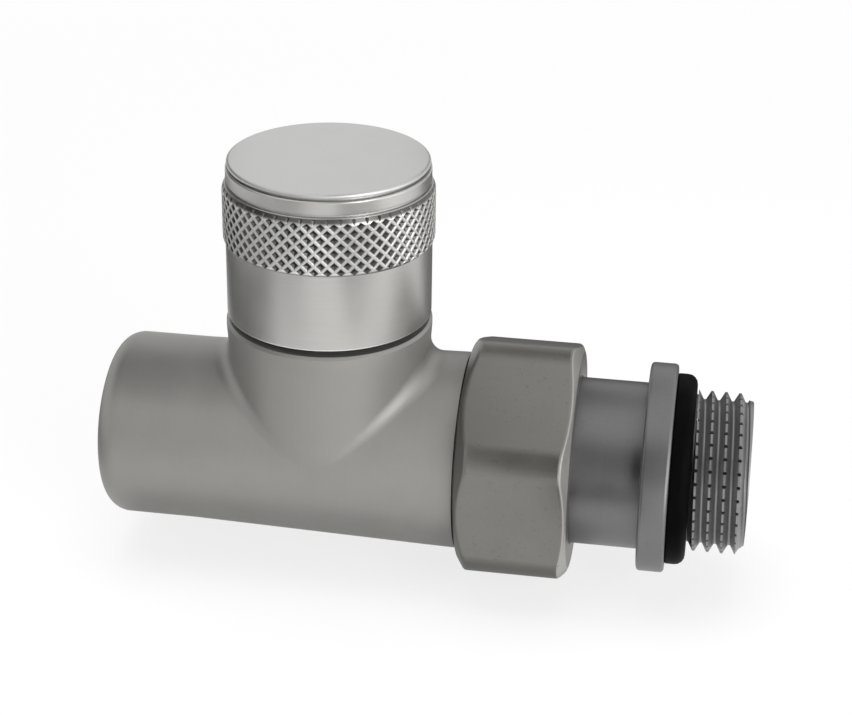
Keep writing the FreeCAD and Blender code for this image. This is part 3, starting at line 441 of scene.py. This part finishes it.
# %% [markdown]
# The knurl is pressed into the ring by two wheels. It leaves pointed pits in a diamond pattern,
# with narrow bright ridges between them. Two columns of diamonds are drawn on a drum, one half a
# diamond higher than the other. Each diamond in the ring's reach is inset for the width of the
# ridge, inset twice more to round it, and poked inwards to a point.

# %% Two columns of pits
PIT_RISE, PIT_DEPTH = 1.714, 0.36
LOW_COLUMN, HIGH_COLUMN = 30.05, 30.907
LOWEST_PIT, HIGHEST_PIT = 29.9, 37.4
RIDGE_STEPS = ((0.09, 0.0), (0.05, 0.02), (0.05, 0.045))
JOINED = 1e-6


def on_drum(swing, level):
    radius = KNURL_RADIUS * mm
    return (KNOB_AXIS[0] + radius * math.sin(swing), -radius * math.cos(swing), level * mm)


def pit_columns():
    half = math.pi / PITS_ROUND
    drum = bmesh.new()
    pits = []
    for row in range(-2, 7):
        for swing, level in ((half, LOW_COLUMN + row * PIT_RISE), (0, HIGH_COLUMN + row * PIT_RISE)):
            spots = ((swing - half, level), (swing, level - PIT_RISE / 2),
                     (swing + half, level), (swing, level + PIT_RISE / 2))
            face = drum.faces.new([drum.verts.new(on_drum(*spot)) for spot in spots])
            if LOWEST_PIT < level < HIGHEST_PIT:
                pits.append(face)
    bmesh.ops.remove_doubles(drum, verts=drum.verts, dist=JOINED)
    for width, fall in RIDGE_STEPS:
        bmesh.ops.inset_individual(drum, faces=pits, thickness=width * mm, depth=-fall * mm,
                                   use_even_offset=True)
    bmesh.ops.poke(drum, faces=pits, offset=-PIT_DEPTH * mm, center_mode="MEAN")
    return drum


# %% [markdown]
# The pair of columns is copied round until the drum has 51 pairs. The drum is then drawn out far
# above and below the ring and closed, and what it and the blank have in common is the knob.

# %% Knurl
DRUM_FOOT, DRUM_MIDDLE, DRUM_TOP = 16.0, 34.0, 42.0
drum = pit_columns()
bmesh.ops.spin(drum, geom=drum.faces[:], cent=KNOB_AXIS, axis=(0, 0, 1), dvec=(0, 0, 0),
               angle=math.tau * (PITS_ROUND - 1) / PITS_ROUND, steps=PITS_ROUND - 1,
               use_merge=False, use_duplicate=True)
bmesh.ops.remove_doubles(drum, verts=drum.verts, dist=JOINED)
for end, side in ((DRUM_FOOT, -1), (DRUM_TOP, 1)):
    rim = [e for e in drum.edges
           if e.is_boundary and (e.verts[0].co.z - DRUM_MIDDLE * mm) * side > 0]
    grown = bmesh.ops.extrude_edge_only(drum, edges=rim)["geom"]
    for vert in (v for v in grown if isinstance(v, bmesh.types.BMVert)):
        vert.co.z = end * mm
    bmesh.ops.contextual_create(drum, geom=[e for e in grown if isinstance(e, bmesh.types.BMEdge)])
bmesh.ops.recalc_face_normals(drum, faces=drum.faces)
cut(knob, as_object(drum, "knurl_drum"), "INTERSECT")
dress(knob, "knob_shell", "handwheel", "knob")

# %% [markdown]
# A pipe thread is a groove that winds round and moves on by one pitch each turn. Half of the
# groove is drawn as an outline, wider outside than at its root, the other half mirrors it, and
# the whole is spun with a shift per step. The same groove, turned outside in, is what a tap cuts
# in a bore.

# %% Thread groove
THREAD_PITCH, STEPS_PER_TURN = 1.814, 80
CREST_RADIUS, ROOT_RADIUS = 10.4775, 9.316
HALF_GROOVE = [(0.08, -1.15), (0.19, -1.08), (0.74, -0.06), (0.79, 0.02), (0.79, 0.35)]


def thread_groove(first, turns, inner=False):
    sides = [(-along, lift) for along, lift in reversed(HALF_GROOVE)] + HALF_GROOVE
    edge, sense = (ROOT_RADIUS, -1) if inner else (CREST_RADIUS, 1)
    shape = bmesh.new()
    shape.faces.new([shape.verts.new(((first + along) * mm, 0, (edge + sense * lift) * mm))
                     for along, lift in sides])
    steps = int(STEPS_PER_TURN * turns)
    bmesh.ops.spin(shape, geom=shape.faces[:], cent=(0, 0, 0), axis=(1, 0, 0),
                   dvec=(turns * THREAD_PITCH * mm / steps, 0, 0), angle=math.tau * turns,
                   steps=steps, use_merge=False, use_duplicate=False)
    bmesh.ops.recalc_face_normals(shape, faces=shape.faces)
    return shape


# %% [markdown]
# The tail is one turned piece too: the nose that sits in the body, the smooth neck, the flange and the
# pipe thread. The crests of the thread carry small notches, which hold the sealing hemp of the fitter.
# They are made before the thread is cut, by drawing every eighth column of the crest inwards, and their
# faces get a dark material of their own, which is painted shade for the shade inside the notches.

# %% Tail and notches
NECK_RADIUS, FLANGE_RADIUS, TAIL_END = 10.90, 13.65, 84.00
tail_outline = [
    (50.30, 5.80, 0.2), (50.30, 9.55, 0.2), (52.50, 9.55, 0.1), (52.50, 8.25, 0), (54.30, 8.25, 0),
    (54.30, 9.55, 0.1), (56.55, 9.55, 0), (56.55, NECK_RADIUS, 0.1), (56.90, NECK_RADIUS, 0.1),
    (56.90, 10.00, 0), (58.40, 10.00, 0), (58.40, NECK_RADIUS, 0.1), (70.40, NECK_RADIUS, 0.15),
    (70.40, FLANGE_RADIUS, 0.48), (74.00, FLANGE_RADIUS, 0.48), (74.00, 9.88, 0), (76.80, 9.88, 0),
    (76.80, CREST_RADIUS, 0), (76.95, CREST_RADIUS, 0), (82.80, CREST_RADIUS, 0),
    (82.95, CREST_RADIUS, 0), (83.45, 9.62, 0.1), (TAIL_END, 9.50, 0.12), (TAIL_END, 5.80, 0.1),
]
NOTCHES, NOTCH_EVERY, NOTCH_DEPTH = 38, 8, 0.36
NOTCHED_FROM, NOTCHED_TO, NOTCHED_ABOVE = 76.9 * mm, 82.9 * mm, 10.47 * mm
columns = NOTCHES * NOTCH_EVERY
tail_shape = turned(tail_outline, "x", columns)
for vert in tail_shape.verts:
    radius = math.hypot(vert.co.y, vert.co.z)
    column = round(math.atan2(vert.co.z, vert.co.y) / math.tau * columns)
    on_crest = radius > NOTCHED_ABOVE and NOTCHED_FROM < vert.co.x < NOTCHED_TO
    if on_crest and column % NOTCH_EVERY == 0:
        vert.co.yz = vert.co.yz * (1 - NOTCH_DEPTH * mm / radius)
        for face in vert.link_faces:
            face.material_index = all(NOTCHED_FROM < v.co.x < NOTCHED_TO for v in face.verts)
tail = as_object(tail_shape, "tail_piece")
tail.data.materials.append(finish["tail"])
# The second slot paints shade into the notches.
tail.data.materials.append(finish["notch"])
print("notches round the tail:", NOTCHES)

# %% [markdown]
# The groove of the thread is cut over the notches. A hexagon socket in the end takes the fitter's
# key. Its tool is a six-sided bar that lies along x, and so is the blank of the union nut.

# %% Thread and key socket
THREAD_START, THREAD_TURNS = 75.966, 7
KEY_RADIUS, KEY_LENGTH = 6.928, 18


def six_sided_bar(radius, length, middle, turn=0.0):
    bar = bmesh.new()
    place = (Matrix.Translation((middle * mm, 0, 0)) @ Matrix.Rotation(turn, 4, "X")
             @ Matrix.Rotation(math.pi / 2, 4, "Y"))
    bmesh.ops.create_cone(bar, cap_ends=True, segments=6, radius1=radius * mm, radius2=radius * mm,
                          depth=length * mm, matrix=place)
    return bar


cut(tail, as_object(thread_groove(THREAD_START, THREAD_TURNS), "thread_groove"))
cut(tail, as_object(six_sided_bar(KEY_RADIUS, KEY_LENGTH, TAIL_END), "key_socket"))
dress(tail, "tailpiece", "tail", "tail")

# %% [markdown]
# A black rubber ring lies against the flange and seals the tail to the radiator. It is moulded,
# so its outer edge is round, and it is squeezed flat on the flange side.

# %% Flange ring
ring_outline = [(74.00, 9.93, 0.15), (74.00, 12.45, 0.25), (76.60, 12.45, 1.30), (76.60, 9.93, 0.15)]
ring = as_object(turned(ring_outline, "x"), "flange_ring")
dress(ring, "flange_seal", "tail", "ring")

# %% [markdown]
# The union nut starts as a hexagonal bar. Its six long edges are rounded, then a lathe chamfers
# both ends, which leaves the curved lines where cone and flat meet, and bores it. Its left end
# lies a little further in than on the solid, where the photograph shows it.

# %% Union nut
FLATS, NUT_TURN = 30.0, math.radians(37)
BAR_LENGTH, BAR_MIDDLE, CORNER_ROUND = 20, 53.9, 3.0
LEFT_END, RIGHT_END, END_RADIUS, CHAMFER_RADIUS = 47.10, 61.60, 14.20, 18.92
bar = six_sided_bar(FLATS / 2 / math.cos(math.pi / 6), BAR_LENGTH, BAR_MIDDLE, NUT_TURN)
long_edges = [e for e in bar.edges
              if abs(e.verts[0].co.x - e.verts[1].co.x) > BAR_LENGTH / 2 * mm]
bmesh.ops.bevel(bar, geom=long_edges, offset=CORNER_ROUND * mm, offset_type="OFFSET",
                affect="EDGES", segments=12, profile=0.5, material=-1)
nut = as_object(bar, "hexagon_nut")
lathe_outline = [
    (LEFT_END, 13.15, 0), (LEFT_END, END_RADIUS, 0), (50.28, CHAMFER_RADIUS, 0),
    (59.50, CHAMFER_RADIUS, 0), (RIGHT_END, END_RADIUS, 0), (RIGHT_END, 11.00, 0),
    (58.80, 11.00, 0), (58.80, 12.40, 0), (56.80, 12.40, 0), (56.80, 13.15, 0),
]
cut(nut, as_object(turned(lathe_outline, "x"), "nut_lathe"), "INTERSECT")

# %% [markdown]
# A narrow bevel on every edge of the nut catches the light. Where the rounded corners run out, the lathe
# leaves edges far shorter than the bevel is wide, which would spoil it, so they are taken out first. The
# chamfer on the right is a turned face with rings, painted lighter than the flats as a painted highlight.

# %% Edges and right chamfer of the nut
NUT_SHORTEST, EDGE_ROUND, EDGE_ANGLE = 0.06, 0.32, 18
BRIGHT_OUTSIDE = 14.15
nut_mesh = bmesh.new()
nut_mesh.from_mesh(nut.data)
drop_short_edges(nut_mesh, NUT_SHORTEST * mm)
nut_mesh.to_mesh(nut.data)
nut_mesh.free()
edge_round = nut.modifiers.new("edge_round", "BEVEL")
edge_round.width = EDGE_ROUND * mm
edge_round.segments = 4
edge_round.limit_method = "ANGLE"
edge_round.angle_limit = math.radians(EDGE_ANGLE)
edge_round.use_clamp_overlap = False
dress(nut, "union_nut", "nut", "nut", 30)
# The right chamfer takes the lighter finish: a painted highlight.
nut.data.materials.append(finish["nut_end"])
for face in nut.data.polygons:
    if face.normal.x > 0.5 and math.hypot(face.center.y, face.center.z) > BRIGHT_OUTSIDE * mm:
        face.material_index = 1

# %% [markdown]
# The forged body keeps the shape of its solid. A copy of it is merged into one skin, so that it
# shades smoothly, and the inlet gets its pipe thread, cut by the same groove turned outside in.
# The end of the arm beside the nut lies a little further in than on the solid, as the photograph
# shows it.

# %% Valve body
SOLID_ARM_END, ARM_END, ARM_END_REACH = 45.9 * mm, 46.7 * mm, 0.01 * mm
INLET_START, INLET_TURNS = -2.0, 7.6
skin = bmesh.new()
skin.from_mesh(nodes["valve_body"].data)
bmesh.ops.remove_doubles(skin, verts=skin.verts, dist=JOINED)
arm_end = [v for v in skin.verts if abs(v.co.x - SOLID_ARM_END) < ARM_END_REACH]
for vert in arm_end:
    vert.co.x = ARM_END
print("points moved at the end of the arm:", len(arm_end))
body = as_object(skin, "forged_body")
body.data.attributes.remove(body.data.attributes["custom_normal"])
cut(body, as_object(thread_groove(INLET_START, INLET_TURNS, inner=True), "tap"))
dress(body, "valve_body", "housing", "body", 30)

# %% [markdown]
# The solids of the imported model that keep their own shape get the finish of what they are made
# of. A solid keeps its mesh and only its material slots change.

# %% Finishes of the inner pieces
inner_pieces = {
    "bonnet": ["bonnet"],
    "brass": ["gland_nut", "disc_holder", "washer_nut", "spindle", "knob_insert"],
    "steel": ["spindle_clip", "knob_screw", "screw_washer", "tail_clip"],
    "seal": ["bonnet_o_ring", "packing_washer", "stem_o_ring_lower", "stem_o_ring_upper",
             "seat_washer", "cap_ring", "tail_o_ring"],
}
for finish_name, node_names in inner_pieces.items():
    for node_name in node_names:
        for slot in nodes[node_name].material_slots:
            slot.material = finish[finish_name]
print("solids with a finish:", sum(len(node_names) for node_names in inner_pieces.values()))

# %% [markdown]
# The valve stands on a plain pale floor that runs out to the horizon of the picture. The
# photograph has a pure white ground, so for rays that come from the camera, or by way of a gloss
# or of glass, part of the floor's colour is its own plain white; the rest keeps the soft shadow.
# Farther from the valve than its shadow reaches, the floor is plain white altogether.

# %% Floor
FLOOR_LEVEL, FLOOR_REACH = -17.4 * mm, 3.0
SHADOW_WITHIN, WHITE_BEYOND, WHITE_SHARE = 0.14, 0.34, 0.75


def seen_rays(tree):
    path = add(tree, "ShaderNodeLightPath")
    seen = math_step(tree, "MAXIMUM", path.outputs["Is Camera Ray"], path.outputs["Is Glossy Ray"])
    return math_step(tree, "MAXIMUM", seen, path.outputs["Is Transmission Ray"])


floor_shape = bmesh.new()
bmesh.ops.create_grid(floor_shape, x_segments=1, y_segments=1, size=FLOOR_REACH)
bmesh.ops.translate(floor_shape, verts=floor_shape.verts, vec=(0, 0, FLOOR_LEVEL))
floor = as_object(floor_shape, "floor")
floor_material, tree = new_material("floor_white")
place = add(tree, "ShaderNodeTexCoord").outputs["Object"]
distance = add(tree, "ShaderNodeVectorMath", operation="LENGTH", i0=place).outputs["Value"]
share = remap(tree, distance, SHADOW_WITHIN, WHITE_BEYOND, WHITE_SHARE, 1.0)
paper = add(tree, "ShaderNodeBsdfDiffuse", Color=(0.88, 0.88, 0.88, 1))
plain = add(tree, "ShaderNodeEmission", Color=(1, 1, 1, 1), Strength=1.0)
mixed = add(tree, "ShaderNodeMixShader", i0=math_step(tree, "MULTIPLY", seen_rays(tree), share),
            i1=paper.outputs[0], i2=plain.outputs[0])
add(tree, "ShaderNodeOutputMaterial", Surface=mixed.outputs[0])
floor.data.materials.append(floor_material)
print("floor level in mm:", round(FLOOR_LEVEL / mm, 1))

# %% [markdown]
# Satin metal shows the room in soft patches, so the room is what shapes it. The room is white at
# every place that the camera, a gloss or glass can see, and a little dimmer as light for matt
# things.

# %% Room
MATT_LIGHT = 0.6
world = bpy.data.worlds.new("room")
world.use_nodes = True
tree = world.node_tree
tree.nodes.clear()
strength = remap(tree, seen_rays(tree), 0, 1, MATT_LIGHT, 1.0)
room = add(tree, "ShaderNodeBackground", Color=(1, 1, 1, 1), Strength=strength)
add(tree, "ShaderNodeOutputWorld", Surface=room.outputs[0])
bpy.context.scene.world = world
print("room light on matt things:", MATT_LIGHT)

# %% [markdown]
# One large soft lamp hangs high up for the shadow. The metal doesn't mirror it, because the lid
# would turn white. Two lamps on the right, one in front and one low beside the valve, light the
# sides of the knob and the body that face them. The camera sees none of the three.

# %% Lamps
def soft_lamp(name, place, aim, size, power, mirrored=True):
    data = bpy.data.lights.new(name, "AREA")
    data.shape = "RECTANGLE"
    data.size, data.size_y = size
    data.energy = power
    lamp = bpy.data.objects.new(name, data)
    direction = Vector(aim) - Vector(place)
    lamp.matrix_world = Matrix.Translation(place) @ direction.to_track_quat("-Z", "Y").to_matrix().to_4x4()
    lamp.visible_camera = False
    lamp.visible_glossy = mirrored
    bpy.context.collection.objects.link(lamp)
    print(name, power, "watts")


soft_lamp("lamp_high", (0.0, -0.05, 0.60), (0.04, 0, 0.01), (0.45, 0.45), 2.1, mirrored=False)
soft_lamp("lamp_front", (0.26, -0.26, 0.10), (0.03, 0, 0.02), (0.16, 0.24), 0.8)
soft_lamp("lamp_right", (0.32, -0.078, 0.028), (0.035, -0.008, 0.012), (0.26, 0.05), 0.145)

# %% [markdown]
# A photographer of metal also puts dark cards round it, just outside the picture. Their
# reflection draws the dark edges of the knob and the darker stripe along the tube, which tell
# the eye that a thing is round. Only reflections show them: the camera, the shadow and the soft
# light on matt things pass them by. Some lie level and some stand upright, and each is given by
# its spans in metres and its tone, from 0 for black.

# %% Dark cards
def dark_card(name, corners, tone):
    shape = bmesh.new()
    shape.faces.new([shape.verts.new(corner) for corner in corners])
    card = as_object(shape, name)
    card.visible_camera = card.visible_shadow = card.visible_diffuse = False
    material, card_tree = new_material(name)
    felt = add(card_tree, "ShaderNodeEmission", Color=(tone, tone, tone, 1), Strength=1.0)
    add(card_tree, "ShaderNodeOutputMaterial", Surface=felt.outputs[0])
    card.data.materials.append(material)


def level_card(name, x, y, z, tone):
    dark_card(name, [(x[0], y[0], z), (x[1], y[0], z), (x[1], y[1], z), (x[0], y[1], z)], tone)


def upright_card(name, x, y, z, tone):
    dark_card(name, [(x[0], y, z[0]), (x[1], y, z[0]), (x[1], y, z[1]), (x[0], y, z[1])], tone)


FRONT_CARD_SIDE = [(0.055, 0.006), (0.12, 0.006), (0.12, 0.045), (0.058, 0.045), (0.056, 0.056),
                   (0.043, 0.056), (0.043, 0.017)]
level_card("card_left", (-0.095, -0.036), (-0.072, 0.13), -0.0165, 0.0)
upright_card("card_behind", (0.03, 0.11), 0.06, (-0.017, 0.022), 0.1)
dark_card("card_front", [(x, -0.04, z) for x, z in FRONT_CARD_SIDE], 0.0)
upright_card("card_front_left", (-0.07, 0.005), -0.09, (-0.01, 0.07), 0.4)
level_card("card_over_arm", (-0.045, 0.010), (-0.035, 0.025), 0.046, 0.0)
level_card("card_over_nut", (0.040, 0.066), (0.012, 0.06), 0.05, 0.2)
level_card("card_over_right_arm", (0.033, 0.0425), (-0.05, -0.015), 0.05, 0.0)
upright_card("card_by_neck", (0.060, 0.069), -0.025, (-0.007, 0.003), 0.0)
# This card under the valve is a painted shadow: the undersides mirror it in place of the shaded floor
# beneath them.
level_card("card_under_painted_shadow", (0.0, 0.064), (-0.018, 0.011), -0.0172, 0.5)
